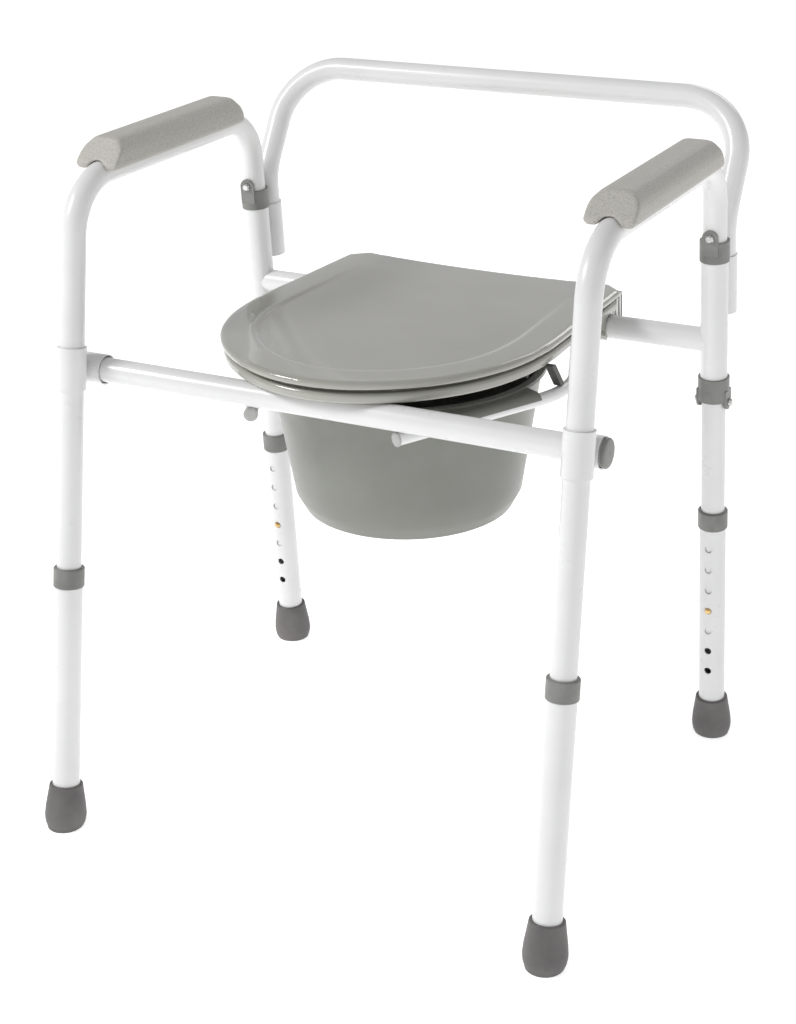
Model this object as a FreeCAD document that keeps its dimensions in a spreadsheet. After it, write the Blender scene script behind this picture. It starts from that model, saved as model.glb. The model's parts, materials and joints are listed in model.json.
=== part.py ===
import FreeCAD, Part
import math
import os

import Sketcher

# A folding commode chair: two bent-tube side frames with sliding leg extensions, a rear frame that
# holds the seat, the lid, the bucket rails and the backrest hoop, and a front crossbar in two T fittings.
# Millimetres, +Z up, the chair faces -Y. The origin lies on the floor below the middle of the chair.

SIZES = {
    # side frames
    "tube_od": 25.4,
    "tube_wall": 1.3,
    "leg_spacing": 551.0,
    "foot_spacing": 472.2,
    "middle_offset": 25.21,
    "front_lean": 8.64,
    "rear_lean": 3.89,
    "arm_height": 673.0,
    "front_bend": 62.0,
    "rear_bend": 50.0,
    "inner_leg_end": 123.0,
    # leg extensions
    "extension_od": 28.6,
    "extension_bore": 26.0,
    "extension_bottom": 8.0,
    "extension_top": 278.5,
    "collar_od": 32.0,
    "collar_length": 21.0,
    "hole_pitch": 25.4,
    "button_height": 161.7,
    "button_dia": 7.0,
    "hole_dia": 8.0,
    # foot tips
    "tip_height": 46.5,
    "tip_rim_dia": 35.0,
    "tip_wide_dia": 43.5,
    # arm pads
    "pad_front": -98.0,
    "pad_length": 244.0,
    "pad_width": 50.0,
    "pad_top_width": 31.0,
    "pad_bottom_rise": 4.0,
    "pad_top_rise": 34.0,
    # front crossbar and its T fittings
    "cross_offset": 28.6,
    "front_cross_height": 479.7,
    "front_cross_overhang": 14.5,
    "sleeve_od": 30.0,
    "sleeve_bottom": 466.0,
    "sleeve_top": 509.0,
    "cross_sleeve_od": 31.0,
    "cross_sleeve_bore": 28.3,
    "cross_sleeve_inner": 22.5,
    "cross_sleeve_outer": 13.2,
    # rear frame
    "rear_cross_height": 477.4,
    "hinge_sleeve_od": 28.6,
    "hinge_sleeve_bottom": 437.8,
    "hinge_sleeve_top": 566.4,
    "upper_collar_od": 31.0,
    "upper_collar_top": 588.7,
    "upper_screw_height": 594.5,
    "lower_collar_od": 33.0,
    "lower_collar_bottom": 411.5,
    "lower_screw_height": 410.0,
    "socket_bottom": 501.0,
    "socket_top": 564.0,
    # backrest hoop
    "hoop_bend_height": 600.0,
    "hoop_height": 713.3,
    "hoop_lean": 32.0,
    "hoop_bend": 60.0,
    "hoop_corner": 68.0,
    # bucket rails
    "rail_od": 13.0,
    "rail_spacing": 236.0,
    "rail_nose_spacing": 162.0,
    "rail_nose": -137.0,
    "rail_bow": 360.0,
    "rail_corner": 54.0,
    "rail_end": 212.0,
    "rail_bend": 100.0,
    "rail_gap": 1.2,
    # seat ring and lid
    "seat_nose": -164.0,
    "seat_bottom": 493.4,
    "seat_thickness": 10.6,
    "lid_bottom": 507.0,
    "lid_thickness": 9.0,
    "seat_hole_width": 212.0,
    "seat_hole_length": 268.0,
    "seat_hole_middle": 24.0,
    "seat_tail": 12.0,
    "clip_width": 14.0,
    "clip_reach": 130.0,
    "bumper_width": 8.0,
    "seat_skew": 1.4,
    "skew_centre": 286.0,
    "recess_depth": 2.2,
    "recess_slope": 0.8,
    # bucket
    "bucket_middle": 37.5,
    "bucket_rim_dia": 292.0,
    "bucket_mouth_dia": 282.0,
    "bucket_base_dia": 239.0,
    "bucket_bottom": 312.5,
    "bucket_top": 470.0,
    "bucket_wall": 2.4,
    "bucket_corner": 22.0,
    # running fits
    "fit": 0.05,
    "slack": 0.3,
}

# The seat's outline, from its nose to the end of its round side: radius and turn of each arc.
SEAT_ARCS = ((146.0, 22.4), (191.7, 60.0), (317.0, 10.1))
SEAT_STRAIGHT = 164.4
SEAT_CORNER = (148.0, 236.0)
SEAT_BACK = 226.0

SIDES = {"left": -1, "right": 1}
ENDS = ("front", "rear")
X_AXIS = FreeCAD.Vector(1, 0, 0)
Y_AXIS = FreeCAD.Vector(0, 1, 0)
Z_AXIS = FreeCAD.Vector(0, 0, 1)

doc = FreeCAD.newDocument("commode_chair")
sheet = doc.addObject("Spreadsheet::Sheet", "sizes")
for row, (alias, number) in enumerate(SIZES.items(), start=1):
    sheet.set(f"A{row}", alias)
    sheet.set(f"B{row}", str(number))
    sheet.setAlias(f"B{row}", alias)
doc.recompute()


class Length:
    """A size in millimetres together with the sheet expression that gives it."""

    def __init__(self, value, text):
        self.value = value
        self.text = text

    def joined(self, sign, other):
        """The text of this size and another one with a sign between them."""
        other_text = other.text if isinstance(other, Length) else str(other)
        return f"({self.text} {sign} {other_text})"

    def __add__(self, other):
        return Length(self.value + number_of(other), self.joined("+", other))

    def __sub__(self, other):
        return Length(self.value - number_of(other), self.joined("-", other))

    def __mul__(self, other):
        return Length(self.value * number_of(other), self.joined("*", other))

    def __truediv__(self, other):
        return Length(self.value / number_of(other), self.joined("/", other))


def number_of(size):
    """The plain number of a size."""
    return size.value if isinstance(size, Length) else size


def text_of(size):
    """The expression of a size, or of a plain number."""
    return size.text if isinstance(size, Length) else str(size)


S = {alias: Length(float(sheet.get(alias)), f"sizes.{alias}") for alias in SIZES}
N = {alias: size.value for alias, size in S.items()}
parts = {}


def keep(name, item):
    """Name a finished sub-part and list it for export."""
    item.Label = name
    parts[name] = item
    return item


def vec(x, y, z):
    return FreeCAD.Vector(x, y, z)


def depth(y):
    """Place along the chair, from a distance measured from the middle between the feet."""
    return y - N["middle_offset"]


def placed(point, axis=X_AXIS, angle=0.0):
    return FreeCAD.Placement(point, FreeCAD.Rotation(axis, angle))


def leg_point(side, end, height):
    """The point on a leg's axis at a height above the floor."""
    if end == "front":
        along = -N["foot_spacing"] / 2 + math.tan(math.radians(N["front_lean"])) * height
    else:
        along = N["foot_spacing"] / 2 - math.tan(math.radians(N["rear_lean"])) * height
    return vec(SIDES[side] * N["leg_spacing"] / 2, depth(along), height)


def leg_angle(end):
    """The turn about X that lays Z along a leg's axis."""
    return -N["front_lean"] if end == "front" else N["rear_lean"]


def leg_place(side, end, height):
    """A frame on a leg's axis at a height, with Z up the leg."""
    return placed(leg_point(side, end, height), X_AXIS, leg_angle(end))


def inward(end):
    """The sense, along Y, from a leg to the inside of the chair."""
    return 1 if end == "front" else -1


def cylinder(name, radius, length, place=FreeCAD.Placement()):
    solid = doc.addObject("Part::Cylinder", name)
    solid.setExpression("Radius", text_of(radius))
    solid.setExpression("Height", text_of(length))
    solid.Placement = place
    return solid


def box(name, width, length, height, corner):
    """A block along X, Y and Z from its lowest corner."""
    solid = doc.addObject("Part::Box", name)
    solid.setExpression("Length", text_of(width))
    solid.setExpression("Width", text_of(length))
    solid.setExpression("Height", text_of(height))
    solid.Placement = placed(corner)
    return solid


def cut(name, base, tool):
    result = doc.addObject("Part::Cut", name)
    result.Base = base
    result.Tool = tool
    return result


def fuse(name, solids):
    result = doc.addObject("Part::MultiFuse", name)
    result.Shapes = solids
    return result


def group(name, solids):
    """Separate solids of one kind, kept together."""
    result = doc.addObject("Part::Compound", name)
    result.Links = solids
    return result


def tube(name, outer, inner, length, place=FreeCAD.Placement()):
    """A straight tube along its own Z axis."""
    wall = cut(name, cylinder(f"{name}_outer", outer, length), cylinder(f"{name}_bore", inner, length))
    wall.Placement = place
    return wall


def along(axis, point, length):
    """A frame whose Z runs along X or Y, centred on a point over a length."""
    if axis == "x":
        return placed(point - X_AXIS * (length / 2), Y_AXIS, 90)
    return placed(point - Y_AXIS * (length / 2), X_AXIS, -90)


def rounded_path(points, radii):
    """Straight runs through the points, with an arc of its own radius at each inner point."""
    edges = []
    start = points[0]
    for before, corner, after, radius in zip(points, points[1:], points[2:], radii):
        back = (before - corner).normalize()
        ahead = (after - corner).normalize()
        half = back.getAngle(ahead) / 2
        reach = radius / math.tan(half)
        first = corner + back * reach
        last = corner + ahead * reach
        middle = (back + ahead).normalize()
        top = corner + middle * (radius / math.sin(half) - radius)
        edges.append(Part.LineSegment(start, first).toShape())
        edges.append(Part.Arc(first, top, last).toShape())
        start = last
    edges.append(Part.LineSegment(start, points[-1]).toShape())
    return Part.Wire(edges)


def sweep(name, path, radius):
    """A round bar along a path."""
    first = path.Shape.Edges[0]
    direction = first.tangentAt(first.FirstParameter)
    section = doc.addObject("Part::Circle", f"{name}_section")
    section.setExpression("Radius", text_of(radius))
    start = first.valueAt(first.FirstParameter)
    section.Placement = FreeCAD.Placement(start, FreeCAD.Rotation(Z_AXIS, direction))
    bar = doc.addObject("Part::Sweep", name)
    bar.Sections = [section]
    bar.Spine = (path, [f"Edge{i + 1}" for i in range(len(path.Shape.Edges))])
    bar.Solid = True
    return bar


def bent_tube(name, points, radii, outer, inner):
    """A bent tube along rounded straight runs."""
    path = doc.addObject("Part::Feature", f"{name}_path")
    path.Shape = rounded_path(points, radii)
    return cut(name, sweep(f"{name}_outer", path, outer), sweep(f"{name}_bore", path, inner))


def origin_plane(body, role):
    return next(item for item in body.Origin.OriginFeatures if item.Role == role)


def sketch_on(body, name, role, rise=0.0):
    """An empty sketch parallel to one of a body's own planes."""
    sketch = body.newObject("Sketcher::SketchObject", name)
    sketch.AttachmentSupport = [(origin_plane(body, role), "")]
    sketch.MapMode = "FlatFace"
    sketch.AttachmentOffset = placed(vec(0, 0, rise))
    return sketch


def polygon(sketch, points):
    """A closed outline whose corners are bound to the sheet."""
    corners = [vec(number_of(x), number_of(y), 0) for x, y in points]
    count = len(corners)
    for i in range(count):
        sketch.addGeometry(Part.LineSegment(corners[i], corners[(i + 1) % count]))
    for i in range(count):
        sketch.addConstraint(Sketcher.Constraint("Coincident", i, 2, (i + 1) % count, 1))
    for i, (x, y) in enumerate(points):
        for kind, size in (("DistanceX", x), ("DistanceY", y)):
            if abs(number_of(size)) > 1e-6:
                pin = sketch.addConstraint(Sketcher.Constraint(kind, -1, 1, i, 1, number_of(size)))
                sketch.setExpression(f"Constraints[{pin}]", text_of(size))


def turned_body(name, points):
    """A body turned about Z from corners given as radius and height."""
    body = doc.addObject("PartDesign::Body", name)
    sketch = sketch_on(body, f"{name}_profile", "XZ_Plane")
    polygon(sketch, points)
    turn = body.newObject("PartDesign::Revolution", f"{name}_turn")
    turn.Profile = sketch
    turn.ReferenceAxis = (sketch, ["V_Axis"])
    turn.Angle = 360
    return body


def padded_body(name, role, points, length, rise=0.0, symmetric=False):
    """A body raised from a polygon on one of its origin planes."""
    body = doc.addObject("PartDesign::Body", name)
    sketch = sketch_on(body, f"{name}_profile", role, rise)
    polygon(sketch, points)
    pad = body.newObject("PartDesign::Pad", f"{name}_pad")
    pad.Profile = sketch
    pad.setExpression("Length", text_of(length))
    pad.Midplane = symmetric
    return body


TUBE = S["tube_od"] / 2
TUBE_BORE = TUBE - S["tube_wall"]
RUNNING = TUBE + S["fit"]
HOLE_GAP = S["fit"] * 2
SCREW_SHANK = 2.5
SCREW_HOLE = SCREW_SHANK + 0.05
EAR_THICKNESS = 2.6
PAD_FRONT_SLOPE = 23.0
PAD_REAR_SLOPE = 9.0


# Side frames --------------------------------------------------------------------------------------

def radial_hole(name, side, end, height, radius, length, axis="y", sense=1):
    """A round tool through one wall of a leg at a height, along its own Y or X."""
    tool = cylinder(name, radius, length)
    turn = FreeCAD.Rotation(X_AXIS, -90 * sense) if axis == "y" else FreeCAD.Rotation(Y_AXIS, 90 * sense)
    tool.Placement = leg_place(side, end, height).multiply(FreeCAD.Placement(vec(0, 0, 0), turn))
    return tool


def side_frame(side):
    """One tube bent into the front leg, the arm and the rear leg."""
    points = [
        leg_point(side, "front", N["inner_leg_end"]),
        leg_point(side, "front", N["arm_height"]),
        leg_point(side, "rear", N["arm_height"]),
        leg_point(side, "rear", N["inner_leg_end"]),
    ]
    name = f"side_frame_{side}"
    bent = bent_tube(f"{name}_tube", points, [N["front_bend"], N["rear_bend"]], TUBE, TUBE_BORE)
    button = S["button_dia"] / 2 + HOLE_GAP
    tools = [
        radial_hole(f"{name}_{end}_hole", side, end, N["button_height"], button, 20, "y", inward(end))
        for end in ENDS
    ]
    tools.append(radial_hole(f"{name}_upper", side, "rear", N["upper_screw_height"], SCREW_HOLE, 20, "y", -1))
    tools.append(radial_hole(f"{name}_lower_in", side, "rear", N["lower_screw_height"], SCREW_HOLE, 20, "x", 1))
    tools.append(radial_hole(f"{name}_lower_out", side, "rear", N["lower_screw_height"], SCREW_HOLE, 20, "x", -1))
    keep(name, cut(name, bent, group(f"{name}_holes", tools)))


def pad_section():
    """Half-rounded block over the arm: flat top, broad slopes, straight lower sides."""
    half = S["pad_width"] / 2
    top = S["pad_top_width"] / 2
    low = S["pad_bottom_rise"]
    high = S["pad_top_rise"]
    return [
        (half * -1 + 3.0, low),
        (half - 3.0, low),
        (half, low + 4.0),
        (half, low + 15.0),
        (half - 2.0, low + 21.0),
        (top, high - 1.5),
        (top - 5.0, high),
        (top * -1 + 5.0, high),
        (top * -1, high - 1.5),
        (half * -1 + 2.0, low + 21.0),
        (half * -1, low + 15.0),
        (half * -1, low + 4.0),
    ]


def pad_profile():
    """A pad seen from its side: upright foot, then a front slope and a steeper rear slope."""
    low = S["pad_bottom_rise"]
    high = S["pad_top_rise"]
    length = S["pad_length"]
    return [
        (1.5, low), (0, low + 2.0), (0, low + 6.0), (PAD_FRONT_SLOPE, high), (length - PAD_REAR_SLOPE, high),
        (length, low + 8.0), (length, low + 2.0), (length - 1.5, low),
    ]


def arm_pad(side):
    """A moulded pad clipped round the upper half of the arm tube."""
    name = f"arm_pad_{side}"
    front = vec(SIDES[side] * N["leg_spacing"] / 2, depth(N["pad_front"]), N["arm_height"])
    block = padded_body(f"{name}_block", "XZ_Plane", pad_section(), S["pad_length"])
    block.Placement = placed(front + Y_AXIS * N["pad_length"])
    outline = padded_body(f"{name}_outline", "YZ_Plane", pad_profile(), S["pad_width"] + 10, symmetric=True)
    outline.Placement = placed(front)
    sloped = doc.addObject("Part::Common", f"{name}_sloped")
    sloped.Base = block
    sloped.Tool = outline
    middle = front + Y_AXIS * (N["pad_length"] / 2)
    channel = cylinder(f"{name}_channel", RUNNING, S["pad_length"] + 20, along("y", middle, N["pad_length"] + 20))
    keep(name, cut(name, sloped, channel))


def screw(name, head_radius, head_length, shank_length):
    """A domed screw along Z: head above zero, shank below."""
    return turned_body(name, [
        (0, -shank_length), (SCREW_SHANK, -shank_length), (SCREW_SHANK, 0), (head_radius, 0),
        (head_radius, head_length * 0.5), (head_radius * 0.7, head_length), (0, head_length),
    ])


# Legs ---------------------------------------------------------------------------------------------

def leg_extension(side, end):
    """The outer tube of a leg, with its row of seven height holes on the inner side."""
    name = f"leg_extension_{end}_{side}"
    slope = math.cos(math.radians(leg_angle(end)))
    length = (N["extension_top"] - N["extension_bottom"]) / slope
    wall = tube(f"{name}_tube", S["extension_od"] / 2, S["extension_bore"] / 2, length,
                leg_place(side, end, N["extension_bottom"]))
    tools = []
    for step in range(-3, 4):
        height = N["button_height"] + step * N["hole_pitch"] * slope
        tools.append(radial_hole(f"{name}_hole_{step + 3}", side, end, height, S["hole_dia"] / 2, 20,
                                 "y", inward(end)))
    keep(name, cut(name, wall, group(f"{name}_holes", tools)))


def extension_collar(side, end):
    """The moulded collar that caps an extension and guides the inner leg."""
    name = f"extension_collar_{end}_{side}"
    outer = S["collar_od"] / 2
    sleeve = S["extension_od"] / 2 + S["fit"]
    bore = TUBE + S["slack"]
    top = S["collar_length"]
    lip = 2.5
    body = turned_body(name, [
        (sleeve, 0), (outer - 0.8, 0), (outer, 0.8), (outer, top - 1.2), (outer - 1.2, top),
        (bore, top), (bore, top - lip + 0.1), (sleeve, top - lip + 0.1),
    ])
    foot = leg_place(side, end, N["extension_top"])
    body.Placement = foot.multiply(placed(vec(0, 0, lip - N["collar_length"])))
    keep(name, body)


def foot_tip(side, end):
    """The rubber tip on an extension, cut level where it meets the floor."""
    name = f"foot_tip_{end}_{side}"
    wide = S["tip_wide_dia"] / 2
    rim = S["tip_rim_dia"] / 2
    bore = S["extension_od"] / 2 + S["fit"]
    top = S["tip_height"]
    profile = [
        (0, -4), (wide - 3.6, -4), (wide - 2.4, 1), (wide - 1.0, 4.5), (wide - 0.2, 9), (wide, 13),
        (wide - 0.7, 22), (rim + 0.9, top - 7), (rim, top - 1), (rim - 1, top), (bore, top),
        (bore, S["extension_bottom"]), (0, S["extension_bottom"]),
    ]
    body = turned_body(f"{name}_body", profile)
    body.Placement = leg_place(side, end, 0)
    ground = leg_point(side, end, 0)
    above = box(f"{name}_above", 80, 80, 80, vec(ground.x - 40, ground.y - 40, 0))
    tip = doc.addObject("Part::Common", name)
    tip.Base = body
    tip.Tool = above
    keep(name, tip)


def snap_button(side, end):
    """The domed pin that locks an extension to its inner leg."""
    name = f"snap_button_{end}_{side}"
    radius = S["button_dia"] / 2
    outside = S["extension_od"] / 2
    pin = turned_body(name, [
        (0, 7.5), (radius, 7.5), (radius, outside), (radius - 0.8, outside + 1.4),
        (radius - 2.0, outside + 2.1), (0, outside + 2.3),
    ])
    out = FreeCAD.Rotation(X_AXIS, -90 * inward(end))
    pin.Placement = leg_place(side, end, N["button_height"]).multiply(FreeCAD.Placement(vec(0, 0, 0), out))
    keep(name, pin)


def button_springs(side):
    """The folded leaf spring behind each snap button, inside the inner leg."""
    leaves = []
    for end in ENDS:
        leaf = padded_body(f"button_spring_{end}_{side}", "YZ_Plane", [
            (-9.5, -12), (-8.7, -12), (-8.7, 30), (-4.5, 35), (0, 30), (2.6, 0), (2.6, -6),
            (3.2, -6), (3.2, 0.5), (0.8, 30.6), (-4.5, 36.2), (-9.5, 30.6),
        ], 6, symmetric=True)
        turn = FreeCAD.Rotation(Z_AXIS, 0 if end == "front" else 180)
        leaf.Placement = leg_place(side, end, N["button_height"]).multiply(FreeCAD.Placement(vec(0, 0, 0), turn))
        leaves.append(leaf)
    keep(f"button_springs_{side}", group(f"button_springs_{side}", leaves))


# Front crossbar -----------------------------------------------------------------------------------

def cross_point(side):
    """The crossbar's axis beside a front leg."""
    point = leg_point(side, "front", N["front_cross_height"])
    return point + Y_AXIS * N["cross_offset"]


def t_fitting(side):
    """A sleeve that swivels on the front leg, welded to the sleeve that holds the crossbar."""
    name = f"t_fitting_{side}"
    slope = math.cos(math.radians(N["front_lean"]))
    height = (N["sleeve_top"] - N["sleeve_bottom"]) / slope
    foot = leg_place(side, "front", N["sleeve_bottom"])
    upright = cylinder(f"{name}_upright", S["sleeve_od"] / 2, height, foot)
    length = S["cross_sleeve_inner"] + S["cross_sleeve_outer"]
    shift = SIDES[side] * (N["cross_sleeve_outer"] - N["cross_sleeve_inner"]) / 2
    spot = along("x", cross_point(side) + X_AXIS * shift, length.value)
    level = cylinder(f"{name}_level", S["cross_sleeve_od"] / 2, length, spot)
    below = foot.multiply(placed(vec(0, 0, -30)))
    leg_bore = cylinder(f"{name}_leg_bore", RUNNING, height + 60, below)
    bar_bore = cylinder(f"{name}_bar_bore", S["cross_sleeve_bore"] / 2, length, spot)
    keep(name, cut(name, fuse(f"{name}_outside", [upright, level]),
                   fuse(f"{name}_bores", [leg_bore, bar_bore])))


def front_crossbar():
    """The straight bar through both T fittings, with a domed plug in each end."""
    half = S["leg_spacing"] / 2 + S["front_cross_overhang"]
    middle = vec(0, cross_point("left").y, N["front_cross_height"])
    bar = tube("front_crossbar", TUBE, TUBE_BORE, half * 2, along("x", middle, half.value * 2))
    keep("front_crossbar", bar)
    plugs = []
    for side, sign in SIDES.items():
        plug = turned_body(f"crossbar_plug_{side}", [
            (0, -14), (TUBE_BORE - 0.05, -14), (TUBE_BORE - 0.05, 0.05), (TUBE + 1.6, 0.05), (TUBE + 1.6, 2.6),
            (TUBE + 0.6, 3.8), (TUBE - 1.4, 4.3), (0, 4.6),
        ])
        plug.Placement = placed(middle + X_AXIS * (sign * half.value), Y_AXIS, 90 * sign)
        plugs.append(plug)
    keep("crossbar_plugs", group("crossbar_plugs", plugs))


# Rear frame ---------------------------------------------------------------------------------------

def hinge_sleeve(side):
    """The sleeve in which a side frame's rear leg turns."""
    slope = math.cos(math.radians(N["rear_lean"]))
    height = (N["hinge_sleeve_top"] - N["hinge_sleeve_bottom"]) / slope
    name = f"hinge_sleeve_{side}"
    keep(name, tube(name, S["hinge_sleeve_od"] / 2, RUNNING, height,
                    leg_place(side, "rear", N["hinge_sleeve_bottom"])))


def socket_place(side, height):
    """A frame on a backrest socket's axis, behind the hinge sleeve and along it."""
    gap = N["hinge_sleeve_od"] + N["fit"]
    return leg_place(side, "rear", height).multiply(placed(vec(0, gap, 0)))


def backrest_socket(side):
    """The open socket behind a hinge sleeve, with a lip at its foot that stops the hoop."""
    name = f"backrest_socket_{side}"
    slope = math.cos(math.radians(N["rear_lean"]))
    height = (N["socket_top"] - N["socket_bottom"]) / slope
    outer = S["hinge_sleeve_od"] / 2
    body = turned_body(name, [
        (TUBE - 3, 0), (outer, 0), (outer, height), (RUNNING, height), (RUNNING, 2), (TUBE - 3, 2),
    ])
    body.Placement = socket_place(side, N["socket_bottom"])
    keep(name, body)


def rear_crossbar():
    """The bar between the hinge sleeves, coped to them."""
    middle = vec(0, leg_point("left", "rear", N["rear_cross_height"]).y, N["rear_cross_height"])
    bar = tube("rear_crossbar_bar", TUBE, TUBE_BORE, S["leg_spacing"], along("x", middle, N["leg_spacing"]))
    copes = [
        cylinder(f"rear_crossbar_cope_{side}", S["hinge_sleeve_od"] / 2 + S["fit"], 80,
                 leg_place(side, "rear", N["rear_cross_height"] - 40))
        for side in SIDES
    ]
    keep("rear_crossbar", cut("rear_crossbar", bar, group("rear_crossbar_copes", copes)))
    return middle


def upper_collar(side):
    """The collar above a hinge sleeve, with a screw ear that rises in front."""
    name = f"upper_collar_{side}"
    base = N["hinge_sleeve_top"] + N["slack"]
    slope = math.cos(math.radians(N["rear_lean"]))
    height = (N["upper_collar_top"] - base) / slope
    rise = (N["upper_screw_height"] - base) / slope
    outer = S["upper_collar_od"] / 2
    ring = cylinder(f"{name}_ring", outer, height)
    face = -N["upper_collar_od"] / 2
    ear = box(f"{name}_ear", 17, EAR_THICKNESS, rise - 8, vec(-8.5, face, 8))
    disc = cylinder(f"{name}_disc", 8.5, EAR_THICKNESS, placed(vec(0, face, rise), X_AXIS, -90))
    bore = cylinder(f"{name}_bore", RUNNING, rise + 30, placed(vec(0, 0, -5)))
    hole = cylinder(f"{name}_hole", SCREW_HOLE, 30, placed(vec(0, -25, rise), X_AXIS, -90))
    collar = cut(name, fuse(f"{name}_solid", [ring, ear, disc]), fuse(f"{name}_tools", [bore, hole]))
    collar.Placement = leg_place(side, "rear", base)
    keep(name, collar)


def lower_collar(side):
    """The collar below a hinge sleeve, with a screw ear on each flank."""
    name = f"lower_collar_{side}"
    slope = math.cos(math.radians(N["rear_lean"]))
    top = N["hinge_sleeve_bottom"] - N["slack"]
    height = (top - N["lower_collar_bottom"]) / slope
    drop = (N["lower_screw_height"] - N["lower_collar_bottom"]) / slope
    outer = S["lower_collar_od"] / 2
    solids = [cylinder(f"{name}_ring", outer, height)]
    for sign in (-1, 1):
        inner_face = sign * outer.value - (EAR_THICKNESS if sign > 0 else 0)
        solids.append(box(f"{name}_ear_{sign + 1}", EAR_THICKNESS, 16, 14, vec(inner_face, -8, drop)))
        solids.append(cylinder(f"{name}_disc_{sign + 1}", 8, EAR_THICKNESS,
                               placed(vec(inner_face, 0, drop), Y_AXIS, 90)))
    bore = cylinder(f"{name}_bore", RUNNING, 60, placed(vec(0, 0, -20)))
    hole = cylinder(f"{name}_hole", SCREW_HOLE, 60, placed(vec(-30, 0, drop), Y_AXIS, 90))
    collar = cut(name, fuse(f"{name}_solid", solids), fuse(f"{name}_tools", [bore, hole]))
    collar.Placement = leg_place(side, "rear", N["lower_collar_bottom"])
    keep(name, collar)


def collar_screws(side):
    """The screws through the ears of both collars into the rear leg."""
    seats = [
        (N["upper_screw_height"], N["upper_collar_od"] / 2, FreeCAD.Rotation(X_AXIS, 90)),
        (N["lower_screw_height"], N["lower_collar_od"] / 2, FreeCAD.Rotation(Y_AXIS, 90)),
        (N["lower_screw_height"], N["lower_collar_od"] / 2, FreeCAD.Rotation(Y_AXIS, -90)),
    ]
    screws = []
    for i, (height, reach, turn) in enumerate(seats):
        item = screw(f"collar_screw_{side}_{i}", 4.4, 3.6, 7.0)
        outward = FreeCAD.Placement(vec(0, 0, 0), turn).multiply(placed(vec(0, 0, reach)))
        item.Placement = leg_place(side, "rear", height).multiply(outward)
        screws.append(item)
    keep(f"collar_screws_{side}", group(f"collar_screws_{side}", screws))


def backrest_hoop():
    """The hoop: up out of both sockets, leaning back, then across."""
    up = {}
    lean = math.tan(math.radians(N["hoop_lean"]))
    for side in SIDES:
        foot = socket_place(side, N["socket_bottom"] + 2.3).Base
        bend = socket_place(side, N["hoop_bend_height"]).Base
        rise = N["hoop_height"] - bend.z
        up[side] = [foot, bend, bend + vec(0, lean * rise, rise)]
    points = up["left"] + up["right"][::-1]
    radii = [N["hoop_bend"], N["hoop_corner"], N["hoop_corner"], N["hoop_bend"]]
    hoop = bent_tube("backrest_hoop", points, radii, TUBE, TUBE_BORE)
    keep("backrest_hoop", hoop)


def rail_points(side, front_height, rear_height):
    """The nose, the bend and the rear end of a bucket rail's axis, which bows out round the bucket."""
    sign = SIDES[side]
    nose = vec(sign * N["rail_nose_spacing"] / 2, depth(N["rail_nose"]), front_height)
    end = vec(sign * N["rail_spacing"] / 2, depth(N["rail_end"]), rear_height)
    corner = vec(sign * N["rail_bow"] / 2, depth(N["rail_corner"]), 0)
    share = (corner.y - nose.y) / (end.y - nose.y)
    corner.z = front_height + (rear_height - front_height) * share
    return nose, corner, end


def bucket_rails(crossbar):
    """Two bowed rails welded under the rear crossbar, that pass under the front crossbar."""
    rail = S["rail_od"] / 2
    rear_height = crossbar.z - N["tube_od"] / 2 - rail.value - N["fit"]
    front_height = N["front_cross_height"] - N["tube_od"] / 2 - rail.value - N["rail_gap"]
    plugs = []
    for side in SIDES:
        nose, corner, end = rail_points(side, front_height, rear_height)
        name = f"bucket_rail_{side}"
        keep(name, bent_tube(name, [nose, corner, end], [N["rail_bend"]], rail, rail - 1.2))
        plug = turned_body(f"rail_plug_{side}", [
            (0, -8), (rail - 1.25, -8), (rail - 1.25, 0.05), (rail + 0.7, 0.05), (rail + 0.7, 1.6),
            (rail - 1.0, 2.6), (0, 3.0),
        ])
        outward = (nose - corner).normalize()
        plug.Placement = FreeCAD.Placement(nose, FreeCAD.Rotation(Z_AXIS, outward))
        plugs.append(plug)
    keep("rail_plugs", group("rail_plugs", plugs))
    return rail, front_height, rear_height


# Seat ring and lid --------------------------------------------------------------------------------

RECESS_SHARE = 0.79
RIB_COUNT = 6
RIB_DEPTH = 1.5
RIB_WIDTH = 3.0
RIB_CLEARANCE = 17.0
BUMPER_REACH = 168.0
BUMPER_TOP = 24.0
BUMPER_FOOT = 46.0


def half_outline(scale):
    """Points of the seat's right half from nose to tail, as arc triples and straight ends."""
    pieces = []
    spot = vec(0, depth(N["seat_nose"]), 0)
    heading = 0.0
    for radius, turn in SEAT_ARCS:
        turn = math.radians(turn)
        centre = spot + vec(-math.sin(heading), math.cos(heading), 0) * radius
        steps = []
        for share in (0.0, 0.5, 1.0):
            angle = heading + turn * share
            steps.append(centre + vec(math.sin(angle), -math.cos(angle), 0) * radius)
        pieces.append(steps)
        spot = steps[-1]
        heading += turn
    tail = spot + vec(math.cos(heading), math.sin(heading), 0) * SEAT_STRAIGHT
    corner = vec(SEAT_CORNER[0], depth(SEAT_CORNER[1]), 0)
    back = vec(0, depth(SEAT_BACK), 0)
    pieces.append([spot, tail])
    pieces.append([tail, corner])
    middle = vec(0, depth(N["seat_hole_middle"]), 0)
    shrunk = [[middle + (point - middle) * scale for point in piece] for piece in pieces]
    return shrunk, middle + (back - middle) * scale


def seat_sketch(sketch, scale):
    """Draw the whole seat outline at a scale about the seat's middle."""
    pieces, back = half_outline(scale)
    for sign in (1, -1):
        for piece in pieces:
            points = [vec(sign * point.x, point.y, 0) for point in piece]
            if len(points) == 3:
                sketch.addGeometry(Part.Arc(*points))
            else:
                sketch.addGeometry(Part.LineSegment(*points))
    corner = pieces[-1][-1]
    sketch.addGeometry(Part.Arc(vec(corner.x, corner.y, 0), back, vec(-corner.x, corner.y, 0)))


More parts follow.
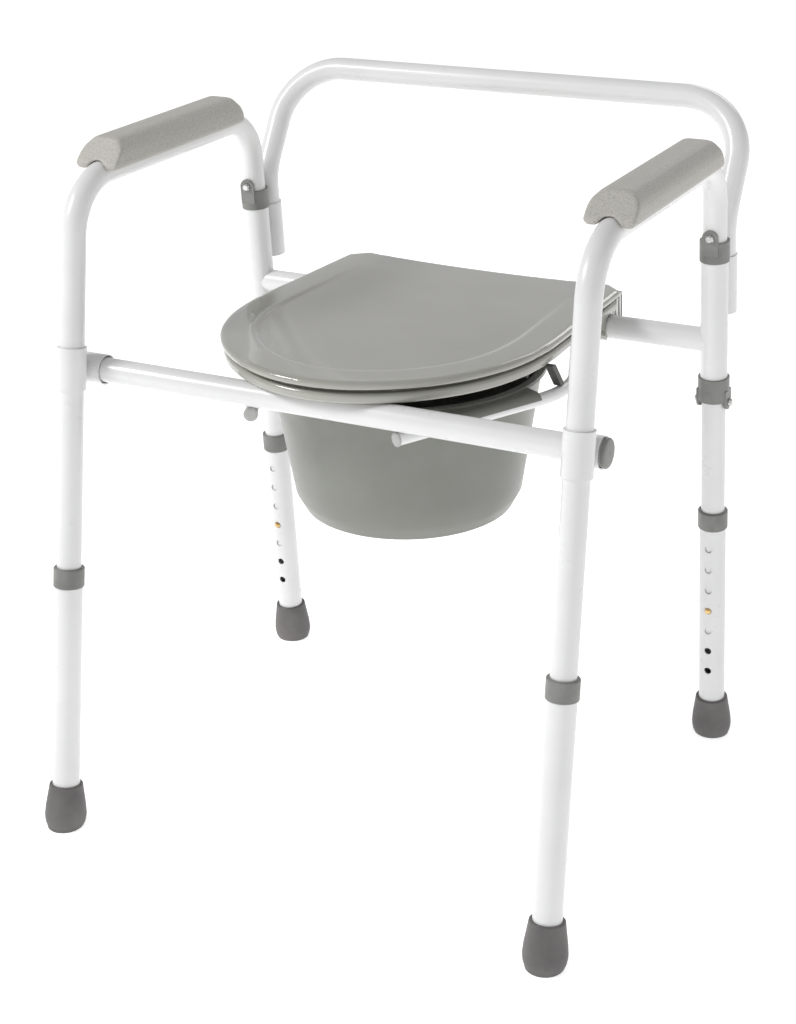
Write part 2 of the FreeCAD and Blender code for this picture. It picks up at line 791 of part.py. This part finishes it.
def seat_skew(rise=0.0):
    """The slight turn at which the seat's plates hang on the play of their clips."""
    centre = vec(0, depth(N["skew_centre"]), rise)
    return FreeCAD.Placement(vec(0, 0, 0), FreeCAD.Rotation(Z_AXIS, -N["seat_skew"]), centre)


def seat_plate(name, bottom, thickness, scale, rounding):
    """A plate with the seat's outline and rounded rims."""
    body = doc.addObject("PartDesign::Body", name)
    sketch = sketch_on(body, f"{name}_outline", "XY_Plane", bottom.value)
    seat_sketch(sketch, scale)
    pad = body.newObject("PartDesign::Pad", f"{name}_pad")
    pad.Profile = sketch
    pad.setExpression("Length", thickness.text)
    doc.recompute()
    rims = []
    for i, edge in enumerate(pad.Shape.Edges):
        if edge.BoundBox.ZLength < 0.01:
            rims.append(f"Edge{i + 1}")
    rounded = body.newObject("PartDesign::Fillet", f"{name}_rims")
    rounded.Base = (pad, rims)
    rounded.Radius = rounding
    body.Placement = seat_skew()
    doc.recompute()
    return body


def hinge_clips(name, crossbar, start, reach, top):
    """A pair of C-shaped clips round the rear crossbar, each on a block below its plate.

    The block reaches a length in front of the bar's axis and a length behind it.
    """
    width = N["clip_width"]
    in_front, behind = reach
    solids = []
    tools = [cylinder(f"{name}_bar", RUNNING, 400, along("x", crossbar, 400))]
    for side, sign in SIDES.items():
        middle = crossbar + X_AXIS * (sign * (start + width / 2))
        solids.append(cylinder(f"{name}_round_{side}", RUNNING + 3.2, S["clip_width"], along("x", middle, width)))
        solids.append(box(f"{name}_block_{side}", S["clip_width"], in_front + behind, top - crossbar.z,
                          middle - vec(width / 2, in_front, 0)))
        tools.append(box(f"{name}_mouth_{side}", width + 2, 19, 20, middle - vec(width / 2 + 1, 9.5, 20)))
    return solids, tools


def clip_ribs(crossbar, start, reach, top):
    """Upright grooves in the outer face of the lid's clip blocks."""
    in_front, behind = reach
    grooves = []
    for sign in SIDES.values():
        face = sign * (start + N["clip_width"])
        for i in range(RIB_COUNT):
            y = crossbar.y - in_front + (i + 0.6) * (in_front + behind) / RIB_COUNT
            bottom = crossbar.z + (RIB_CLEARANCE if abs(y - crossbar.y) < RIB_CLEARANCE else 2.0)
            grooves.append(box(f"lid_rib_{len(grooves)}", 2 * RIB_DEPTH, RIB_WIDTH, top - bottom - 3.0,
                               vec(face - RIB_DEPTH, y, bottom)))
    return grooves


def seat_ring(crossbar):
    """The seat: a ring with an oval hole, hung on the rear crossbar by two clips.

    It ends just behind the crossbar, so that the lid's tail can turn down past it.
    """
    plate = seat_plate("seat_ring_plate", S["seat_bottom"], S["seat_thickness"], 0.985, 4.0)
    hole = doc.addObject("Part::Ellipse", "seat_hole_outline")
    hole.setExpression("MajorRadius", (S["seat_hole_length"] / 2).text)
    hole.setExpression("MinorRadius", (S["seat_hole_width"] / 2).text)
    hole.Placement = placed(vec(0, depth(N["seat_hole_middle"]), N["seat_bottom"] - 5), Z_AXIS, 90)
    opening = doc.addObject("Part::Extrusion", "seat_hole")
    opening.Base = hole
    opening.Dir = Z_AXIS
    opening.DirMode = "Custom"
    opening.LengthFwd = 40
    opening.Solid = True
    clips, tools = hinge_clips("seat_clip", crossbar, N["clip_reach"], (10, 10), N["seat_bottom"] + 4)
    notch_start = N["clip_reach"] + N["clip_width"] + 1.0
    for side, sign in SIDES.items():
        left = notch_start if sign > 0 else -notch_start - N["clip_width"] - 2.0
        tools.append(box(f"seat_notch_{side}", S["clip_width"] + 2, 80, 40,
                         vec(left, crossbar.y - 18, N["seat_bottom"] - 10)))
    tail = box("seat_ring_tail", 400, 60, 30, vec(-200, crossbar.y + N["seat_tail"], N["seat_bottom"] - 5))
    tools += [opening, tail]
    ring = cut("seat_ring", fuse("seat_ring_solid", [plate] + clips), fuse("seat_ring_tools", tools))
    keep("seat_ring", ring)


def seat_lid(crossbar):
    """The lid: a plate with a raised border that fades towards the back, and its own two ribbed clips."""
    plate = seat_plate("lid_plate", S["lid_bottom"], S["lid_thickness"], 1.0, 3.4)
    floor = S["lid_bottom"] + S["lid_thickness"] - S["recess_depth"]
    recess = seat_plate("lid_recess", floor, S["recess_depth"] * 3, RECESS_SHARE, 2.0)
    tilt = placed(vec(0, 0, 0), X_AXIS, N["recess_slope"])
    lift = vec(0, 0, floor.value)
    recess.Placement = placed(lift).multiply(tilt).multiply(placed(lift * -1)).multiply(seat_skew())
    start = N["clip_reach"] + N["clip_width"] + 2.0
    reach = (16.5, 33.0)
    top = N["lid_bottom"] + 2
    clips, tools = hinge_clips("lid_clip", crossbar, start, reach, top)
    tools += clip_ribs(crossbar, start, reach, N["lid_bottom"])
    tools.append(recess)
    keep("seat_lid", cut("seat_lid", fuse("seat_lid_solid", [plate] + clips), fuse("seat_lid_tools", tools)))
    buffers = []
    rest = N["seat_bottom"] + N["seat_thickness"] + 0.15
    for i, (x, y) in enumerate(((-118, -60), (118, -60), (-140, 120), (140, 120))):
        buffers.append(cylinder(f"lid_buffer_{i}", 5, N["lid_bottom"] - rest, placed(vec(x, depth(y), rest))))
    keep("lid_buffers", group("lid_buffers", buffers))


def seat_bumpers(rail_top):
    """Two slanted bars under the ring that rest on the bucket rails."""
    bars = []
    low = rail_top + N["slack"]
    high = N["seat_bottom"]
    half = N["bumper_width"] / 2
    for sign in (-1, 1):
        points = [
            (depth(BUMPER_TOP) - half, high), (depth(BUMPER_TOP) + half, high),
            (depth(BUMPER_FOOT) + half, low), (depth(BUMPER_FOOT) - half, low),
        ]
        bar = padded_body(f"bumper_{len(bars)}", "YZ_Plane", points, S["bumper_width"], symmetric=True)
        bar.Placement = placed(vec(sign * BUMPER_REACH, 0, 0))
        bars.append(bar)
    keep("seat_bumpers", group("seat_bumpers", bars))


# Bucket -------------------------------------------------------------------------------------------

HOOK_START = 56.0
HOOK_RUN = 112.0
HOOK_WALL = 2.5
WEB_WIDTH = 16.0
WEB_THICKNESS = 2.6


def bucket_hook(side, rail, front_height, rear_height):
    """A half pipe over the straight part of a rail, with a web that joins it to the rim."""
    nose, corner, end = rail_points(side, front_height, rear_height)
    ahead = (corner - nose).normalize()
    start = nose + ahead * HOOK_START
    turn = FreeCAD.Rotation(Z_AXIS, ahead)
    spin = FreeCAD.Rotation(Z_AXIS, math.degrees(math.atan2(ahead.y, ahead.x)) - 90)
    pipe = cylinder(f"hook_pipe_{side}", rail + N["slack"] + HOOK_WALL, HOOK_RUN, FreeCAD.Placement(start, turn))
    web = box(f"hook_web_{side}", WEB_WIDTH, HOOK_RUN, WEB_THICKNESS, vec(0, 0, 0))
    inner = -WEB_WIDTH if side == "right" else 0.0
    web.Placement = FreeCAD.Placement(start + spin.multVec(vec(inner, 0, rail.value)), spin)
    hollow = cylinder(f"hook_hollow_{side}", rail + N["slack"], HOOK_RUN + 20,
                      FreeCAD.Placement(start - ahead * 10, turn))
    under = box(f"hook_under_{side}", 40, HOOK_RUN + 40, 30, vec(0, 0, 0))
    under.Placement = FreeCAD.Placement(start + spin.multVec(vec(-20, -20, -27.5)), spin)
    return cut(f"hook_{side}", fuse(f"hook_solid_{side}", [pipe, web]), fuse(f"hook_tools_{side}", [hollow, under]))


def bucket(rail, front_height, rear_height):
    """The round tapered bucket with a rolled rim and a hooked flange over each rail."""
    mouth = S["bucket_mouth_dia"] / 2
    base = S["bucket_base_dia"] / 2
    rim = S["bucket_rim_dia"] / 2
    wall = S["bucket_wall"]
    bottom = S["bucket_bottom"]
    top = S["bucket_top"]
    corner = S["bucket_corner"]
    shell = turned_body("bucket_shell", [
        (0, bottom), (base - corner, bottom), (base - corner * 0.4, bottom + corner * 0.25),
        (base, bottom + corner), (mouth, top - 4), (rim, top - 4), (rim, top), (mouth - wall, top),
        (base - wall, bottom + corner), (base - wall - corner * 0.4, bottom + wall + corner * 0.25),
        (base - wall - corner, bottom + wall), (0, bottom + wall),
    ])
    centre = vec(0, depth(N["bucket_middle"]), 0)
    shell.Placement = placed(centre)
    solids = [shell]
    for side in SIDES:
        solids.append(bucket_hook(side, rail, front_height, rear_height))
    inside = turned_body("bucket_inside", [
        (0, bottom + wall), (base - wall - corner, bottom + wall),
        (base - wall - corner * 0.4, bottom + wall + corner * 0.25), (base - wall, bottom + corner),
        (mouth - wall, top), (mouth - wall, top + 20), (0, top + 20),
    ])
    inside.Placement = placed(centre)
    keep("bucket", cut("bucket", fuse("bucket_solid", solids), inside))
    return centre


def bucket_handle(centre):
    """The carrying handle: a round bail that lies back over the rim, on a pin at each side."""
    reach = N["bucket_rim_dia"] / 2 - 11.0
    level = N["bucket_top"] + 4.6
    pivot = centre + Z_AXIS * level
    points = [
        pivot + vec(-reach, 0, 0), pivot + vec(-reach, 92, 0), pivot + vec(-reach + 50, 129, 0),
        pivot + vec(reach - 50, 129, 0), pivot + vec(reach, 92, 0), pivot + vec(reach, 0, 0),
    ]
    path = doc.addObject("Part::Feature", "bucket_handle_path")
    path.Shape = rounded_path(points, [40.0, 30.0, 30.0, 40.0])
    wire = sweep("bucket_handle_wire", path, 2.4)
    eyes = [
        cylinder(f"bucket_handle_eye_{side}", 3.6, 5, along("x", pivot + X_AXIS * (sign * reach), 5))
        for side, sign in SIDES.items()
    ]
    keep("bucket_handle", fuse("bucket_handle", [wire] + eyes))


# Assembly -----------------------------------------------------------------------------------------

for side in SIDES:
    side_frame(side)
    arm_pad(side)
    for end in ENDS:
        leg_extension(side, end)
        extension_collar(side, end)
        foot_tip(side, end)
        snap_button(side, end)
    button_springs(side)
    t_fitting(side)
    hinge_sleeve(side)
    backrest_socket(side)
    upper_collar(side)
    lower_collar(side)
    collar_screws(side)
front_crossbar()
crossbar_middle = rear_crossbar()
backrest_hoop()
rail_radius, rail_front, rail_rear = bucket_rails(crossbar_middle)
seat_ring(crossbar_middle)
seat_lid(crossbar_middle)
seat_bumpers(rail_front + rail_radius.value)
bucket_centre = bucket(rail_radius, rail_front, rail_rear)
bucket_handle(bucket_centre)
doc.recompute()

for item in doc.Objects:
    if "Invalid" in item.State or "Error" in item.State:
        raise RuntimeError(f"{item.Label} failed: {item.State}")
for name, item in parts.items():
    if item.Shape.isNull() or not item.Shape.isValid():
        raise RuntimeError(f"{name} has no valid shape")

os.makedirs("parts", exist_ok=True)
for name, item in parts.items():
    item.Shape.exportStep(f"parts/{name}.step")
print(f"{len(parts)} parts")
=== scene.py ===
import json
import math

import bpy
from mathutils import Matrix, Vector


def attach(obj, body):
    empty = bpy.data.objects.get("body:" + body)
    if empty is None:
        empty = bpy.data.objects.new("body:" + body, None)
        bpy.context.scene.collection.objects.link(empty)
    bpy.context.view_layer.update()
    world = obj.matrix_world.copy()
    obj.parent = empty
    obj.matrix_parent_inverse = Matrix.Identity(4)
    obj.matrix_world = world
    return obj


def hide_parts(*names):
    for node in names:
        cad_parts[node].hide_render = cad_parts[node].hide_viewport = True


# A folding commode chair. The hard parts are the frame's own nodes with painted, moulded and metal
# finishes. The foam arm pads and the softly moulded lid are modelled here.
# Metres, +Z up, the chair faces -Y.

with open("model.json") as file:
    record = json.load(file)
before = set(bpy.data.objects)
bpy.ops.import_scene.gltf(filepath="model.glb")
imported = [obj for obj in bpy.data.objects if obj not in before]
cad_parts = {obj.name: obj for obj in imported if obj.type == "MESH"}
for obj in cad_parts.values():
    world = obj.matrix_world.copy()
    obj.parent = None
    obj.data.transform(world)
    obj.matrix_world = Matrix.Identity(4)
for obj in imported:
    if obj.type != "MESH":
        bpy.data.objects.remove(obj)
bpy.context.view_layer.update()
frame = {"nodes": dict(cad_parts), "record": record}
NODES = frame["nodes"]
MM = 0.001
COPY_MERGE = 0.002 * MM
PIECE_MERGE = 0.001 * MM
NODE_SMOOTH_ANGLE = 28.0
PAD_VOXEL = 1.3 * MM
PAD_SMOOTHING = 26
LID_VOXEL = 1.75 * MM
LID_SMOOTHING = 9
LID_SMOOTH_ANGLE = 45.0
PLATE_UNDERSIDE = 507.5 * MM


# Tools --------------------------------------------------------------------------------------------

def only(piece):
    """Make a piece the one selected and active object."""
    bpy.ops.object.select_all(action="DESELECT")
    piece.select_set(True)
    bpy.context.view_layer.objects.active = piece


def apply_modifier(piece, kind, **settings):
    """Add a modifier with its settings and apply it."""
    only(piece)
    modifier = piece.modifiers.new(kind.title(), kind)
    for key, value in settings.items():
        setattr(modifier, key, value)
    bpy.ops.object.modifier_apply(modifier=modifier.name)


def merge(piece, distance):
    """Put a piece's place into its mesh, merge its doubled points and turn its faces out."""
    only(piece)
    bpy.ops.object.transform_apply(location=True, rotation=True, scale=True)
    bpy.ops.object.mode_set(mode="EDIT")
    bpy.ops.mesh.select_all(action="SELECT")
    bpy.ops.mesh.remove_doubles(threshold=distance)
    bpy.ops.mesh.normals_make_consistent(inside=False)
    bpy.ops.object.mode_set(mode="OBJECT")


def settle(piece, angle):
    """Merge a finished piece and smooth it up to an angle in degrees."""
    merge(piece, PIECE_MERGE)
    bpy.ops.object.shade_smooth_by_angle(angle=math.radians(angle))


def named(piece, name):
    piece.name = name
    piece.data.name = name
    return piece


def copied(node, name):
    """A copy of a CAD node with a merged mesh of its own."""
    twin = node.copy()
    twin.data = node.data.copy()
    twin.modifiers.clear()
    twin.parent = None
    twin.matrix_world = node.matrix_world.copy()
    bpy.context.scene.collection.objects.link(twin)
    merge(twin, COPY_MERGE)
    return named(twin, name)


def dress(piece, slot, body, node):
    """Give a piece its finish, its body and the CAD node that it stands for."""
    piece.data.materials.clear()
    piece.data.materials.append(FINISHES[slot])
    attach(piece, body)
    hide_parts(node)


# Materials ----------------------------------------------------------------------------------------

class Finish:
    """A node material being built: a shader with object coordinates to hang patterns on."""

    def __init__(self, name, roughness, **constants):
        self.material = bpy.data.materials.new(name)
        self.material.use_nodes = True
        self.tree = self.material.node_tree
        self.shader = self.tree.nodes["Principled BSDF"]
        self.shader.inputs["Roughness"].default_value = roughness
        for socket, value in constants.items():
            self.shader.inputs[socket.replace("_", " ")].default_value = value
        self.place = self.add("ShaderNodeTexCoord").outputs["Object"]

    def add(self, kind, **settings):
        node = self.tree.nodes.new(kind)
        for key, value in settings.items():
            setattr(node, key, value)
        return node

    def link(self, start, end):
        self.tree.links.new(start, end)

    def noise(self, scale, detail=4.0):
        node = self.add("ShaderNodeTexNoise")
        node.inputs["Scale"].default_value = scale
        node.inputs["Detail"].default_value = detail
        self.link(self.place, node.inputs["Vector"])
        return node.outputs["Fac"]

    def cells(self, scale, smooth):
        """Rounded cells, for a pebbled skin."""
        node = self.add("ShaderNodeTexVoronoi", feature="SMOOTH_F1")
        node.inputs["Scale"].default_value = scale
        node.inputs["Smoothness"].default_value = smooth
        self.link(self.place, node.inputs["Vector"])
        return node.outputs["Distance"]

    def ramp(self, source, low, high, start=0.35, end=0.65):
        """Map a pattern to two colours or greys."""
        node = self.add("ShaderNodeValToRGB")
        first, last = node.color_ramp.elements
        first.position = start
        last.position = end
        first.color = (*low, 1.0)
        last.color = (*high, 1.0)
        self.link(source, node.inputs["Fac"])
        return node.outputs["Color"]

    def colour(self, source, dark, light, start=0.35, end=0.65):
        self.link(self.ramp(source, dark, light, start, end), self.shader.inputs["Base Color"])

    def roughen(self, source, low, high):
        node = self.add("ShaderNodeMapRange")
        node.inputs["To Min"].default_value = low
        node.inputs["To Max"].default_value = high
        self.link(source, node.inputs["Value"])
        self.link(node.outputs["Result"], self.shader.inputs["Roughness"])

    def bump(self, source, depth, strength, below=None):
        node = self.add("ShaderNodeBump")
        node.inputs["Distance"].default_value = depth
        node.inputs["Strength"].default_value = strength
        self.link(source, node.inputs["Height"])
        if below is not None:
            self.link(below, node.inputs["Normal"])
        self.link(node.outputs["Normal"], self.shader.inputs["Normal"])
        return node.outputs["Normal"]


def powder_coat():
    finish = Finish("powder_coat_white", 0.3, Coat_Weight=0.35, Coat_Roughness=0.12)
    finish.colour(finish.noise(9.0), (0.73, 0.73, 0.733), (0.78, 0.78, 0.782))
    finish.roughen(finish.noise(35.0), 0.24, 0.34)
    finish.bump(finish.noise(650.0, 2.0), 0.00006, 0.6)
    return finish.material


def moulded_grey():
    finish = Finish("moulded_grey_plastic", 0.42)
    finish.colour(finish.noise(40.0), (0.175, 0.178, 0.168), (0.225, 0.228, 0.215))
    finish.roughen(finish.noise(300.0), 0.36, 0.5)
    finish.bump(finish.noise(1500.0, 3.0), 0.00005, 0.7)
    return finish.material


def pebbled_pad():
    finish = Finish("pebbled_pad_foam", 0.62, Sheen_Weight=0.08)
    pebble_height_and_seam_shade = finish.cells(1050.0, 0.35)
    # Painted shade: the pad's colour runs from light on each pebble's crown to dark in the sunken
    # seams between pebbles.
    finish.colour(pebble_height_and_seam_shade, (0.54, 0.525, 0.485), (0.37, 0.358, 0.33), 0.2, 0.75)
    finish.roughen(finish.noise(260.0), 0.5, 0.7)
    pores = finish.bump(finish.noise(2200.0, 3.0), 0.0001, 0.5)
    finish.bump(pebble_height_and_seam_shade, -0.0002, 0.7, pores)
    return finish.material


def tip_rubber():
    finish = Finish("tip_rubber", 0.55)
    finish.colour(finish.noise(30.0), (0.105, 0.098, 0.098), (0.15, 0.14, 0.14))
    finish.roughen(finish.noise(120.0), 0.45, 0.65)
    finish.bump(finish.noise(900.0, 3.0), 0.0001, 0.6)
    return finish.material


def seat_plastic():
    finish = Finish("seat_gloss_plastic", 0.12, Coat_Weight=0.6, Coat_Roughness=0.03)
    finish.colour(finish.noise(7.0), (0.335, 0.332, 0.30), (0.365, 0.362, 0.328))
    finish.roughen(finish.noise(60.0), 0.1, 0.18)
    finish.bump(finish.noise(420.0, 2.0), 0.00003, 0.5)
    return finish.material


def bucket_plastic():
    finish = Finish("bucket_satin_plastic", 0.34, Coat_Weight=0.1, Coat_Roughness=0.2)
    finish.colour(finish.noise(10.0), (0.185, 0.19, 0.168), (0.215, 0.22, 0.196))
    finish.roughen(finish.noise(90.0), 0.3, 0.42)
    finish.bump(finish.noise(800.0, 3.0), 0.00005, 0.6)
    return finish.material


def bumper_plastic():
    finish = Finish("bumper_dark_plastic", 0.5)
    finish.colour(finish.noise(50.0), (0.045, 0.046, 0.042), (0.07, 0.072, 0.065))
    finish.bump(finish.noise(1200.0), 0.00006, 0.6)
    return finish.material


def light_plug():
    finish = Finish("plug_light_plastic", 0.4)
    finish.colour(finish.noise(60.0), (0.36, 0.365, 0.35), (0.43, 0.435, 0.415))
    finish.bump(finish.noise(1200.0), 0.00005, 0.6)
    return finish.material


def metal(name, dark, light, low, high):
    finish = Finish(name, low, Metallic=1.0)
    finish.colour(finish.noise(112.5), dark, light)
    finish.roughen(finish.noise(300.0), low, high)
    finish.bump(finish.noise(900.0, 2.0), 0.00004, 0.6)
    return finish.material


FINISHES = {
    "white_paint": powder_coat(),
    "grey_collar": moulded_grey(),
    "pad_foam": pebbled_pad(),
    "tip_rubber": tip_rubber(),
    "seat_plastic": seat_plastic(),
    "bucket_plastic": bucket_plastic(),
    "dark_bumper": bumper_plastic(),
    "light_plug": light_plug(),
    "zinc": metal("zinc_plated_steel", (0.50, 0.50, 0.49), (0.66, 0.66, 0.65), 0.18, 0.34),
    "spring_steel": metal("spring_steel", (0.30, 0.30, 0.31), (0.42, 0.42, 0.43), 0.25, 0.4),
    "brass_button": metal("turned_brass", (0.62, 0.40, 0.16), (0.80, 0.56, 0.26), 0.16, 0.3),
}


def finish_nodes():
    """Paint every CAD node and let its curved faces shade smoothly."""
    for part in frame["record"]["subparts"]:
        node = NODES[part["node"]]
        node.data.materials.clear()
        node.data.materials.append(FINISHES[part["material_slot"]])
        node.data.polygons.foreach_set("use_smooth", [True] * len(node.data.polygons))
        weld = node.modifiers.new("Weld", "WELD")
        weld.merge_threshold = COPY_MERGE
        split = node.modifiers.new("Edges", "EDGE_SPLIT")
        split.split_angle = math.radians(NODE_SMOOTH_ANGLE)


# Arm pads -----------------------------------------------------------------------------------------

def arm_pad(side):
    """A moulded foam pad: the plain block's shape with every edge drawn round."""
    pad = copied(NODES[f"arm_pad_{side}"], f"foam_pad_{side}")
    apply_modifier(pad, "REMESH", mode="VOXEL", voxel_size=PAD_VOXEL)
    apply_modifier(pad, "SMOOTH", factor=0.5, iterations=PAD_SMOOTHING)
    settle(pad, 180.0)
    dress(pad, "pad_foam", f"{side}_side", f"arm_pad_{side}")


# Lid ----------------------------------------------------------------------------------------------

def halved(piece, keep_above):
    """Cut a piece level with the plate's underside and close the cut."""
    only(piece)
    bpy.ops.object.mode_set(mode="EDIT")
    bpy.ops.mesh.select_all(action="SELECT")
    bpy.ops.mesh.bisect(
        plane_co=(0, 0, PLATE_UNDERSIDE), plane_no=(0, 0, 1), use_fill=True,
        clear_inner=keep_above, clear_outer=not keep_above,
    )
    bpy.ops.object.mode_set(mode="OBJECT")


def lid():
    """The lid's plate with soft moulded slopes, joined to its two crisp clips."""
    plate = copied(NODES["seat_lid"], "moulded_lid")
    clips = copied(NODES["seat_lid"], "lid_clips")
    halved(plate, True)
    halved(clips, False)
    apply_modifier(plate, "REMESH", mode="VOXEL", voxel_size=LID_VOXEL)
    apply_modifier(plate, "SMOOTH", factor=0.5, iterations=LID_SMOOTHING)
    bpy.ops.object.select_all(action="DESELECT")
    clips.select_set(True)
    plate.select_set(True)
    bpy.context.view_layer.objects.active = plate
    bpy.ops.object.join()
    settle(plate, LID_SMOOTH_ANGLE)
    dress(plate, "seat_plastic", "lid", "seat_lid")


# Stage --------------------------------------------------------------------------------------------

FLOOR_SIZE = 40.0
FLOOR_GLOW = 0.62
SKY_GREYS = ((0.1, 1.0), (0.8, 0.56))
SKY_STRENGTH = 0.68
CAMERA_PLACE = (0.8846, -1.65588, 1.1382)
CAMERA_YAW = 27.68
CAMERA_DIP = 19.01
CAMERA_ROLL = -1.30
CAMERA_LENS = 68.1
CAMERA_SHIFT = (-0.0156, -0.164)


def floor():
    """A white sweep that glows a little, so that it stays even round the chair."""
    bpy.ops.object.select_all(action="DESELECT")
    bpy.ops.mesh.primitive_plane_add(size=FLOOR_SIZE)
    ground = named(bpy.context.object, "floor")
    finish = Finish("floor_pale", 0.9, Specular_IOR_Level=0.1, Emission_Strength=FLOOR_GLOW)
    finish.shader.inputs["Emission Color"].default_value = (1.0, 1.0, 1.0, 1.0)
    finish.colour(finish.noise(0.6), (0.90, 0.90, 0.90), (0.93, 0.93, 0.93))
    ground.data.materials.append(finish.material)


def soft_light(name, place, target, size, watts):
    """A wide lamp at a place, turned to a target."""
    lamp = bpy.data.lights.new(name, "AREA")
    lamp.shape = "RECTANGLE"
    lamp.size = size
    lamp.size_y = size * 0.7
    lamp.energy = watts
    holder = bpy.data.objects.new(name, lamp)
    holder.location = place
    holder.rotation_euler = (Vector(target) - Vector(place)).to_track_quat("-Z", "Y").to_euler()
    bpy.context.scene.collection.objects.link(holder)


def studio():
    """A room that is white at the horizon and greyer above, with three wide lamps."""
    world = bpy.data.worlds.new("studio")
    world.use_nodes = True
    tree = world.node_tree
    place = tree.nodes.new("ShaderNodeTexCoord")
    height = tree.nodes.new("ShaderNodeSeparateXYZ")
    sky = tree.nodes.new("ShaderNodeValToRGB")
    tree.links.new(place.outputs["Generated"], height.inputs["Vector"])
    tree.links.new(height.outputs["Z"], sky.inputs["Fac"])
    for element, (position, grey) in zip(sky.color_ramp.elements, SKY_GREYS):
        element.position = position
        element.color = (grey, grey, grey, 1.0)
    tree.links.new(sky.outputs["Color"], tree.nodes["Background"].inputs["Color"])
    tree.nodes["Background"].inputs["Strength"].default_value = SKY_STRENGTH
    bpy.context.scene.world = world
    soft_light("key", (-1.9, -1.5, 2.3), (0, 0, 0.4), 0.9, 46)
    soft_light("fill", (2.4, -0.6, 1.7), (0, 0, 0.4), 1.2, 3)
    soft_light("back", (0.2, 2.4, 2.0), (0, 0, 0.5), 1.4, 10)
    bpy.context.scene.view_settings.view_transform = "Standard"


def camera():
    """A portrait view from the front right, a little above the lid."""
    lens = bpy.data.cameras.new("camera")
    lens.sensor_width = 36.0
    lens.lens = CAMERA_LENS
    lens.shift_x, lens.shift_y = CAMERA_SHIFT
    holder = bpy.data.objects.new("camera", lens)
    yaw = Matrix.Rotation(math.radians(CAMERA_YAW), 4, "Z")
    tilt = Matrix.Rotation(math.radians(90 - CAMERA_DIP), 4, "X")
    roll = Matrix.Rotation(math.radians(CAMERA_ROLL), 4, "Z")
    holder.matrix_world = Matrix.Translation(CAMERA_PLACE) @ yaw @ tilt @ roll
    bpy.context.scene.collection.objects.link(holder)
    bpy.context.scene.camera = holder


finish_nodes()
for side in ("left", "right"):
    arm_pad(side)
lid()
floor()
studio()
camera()
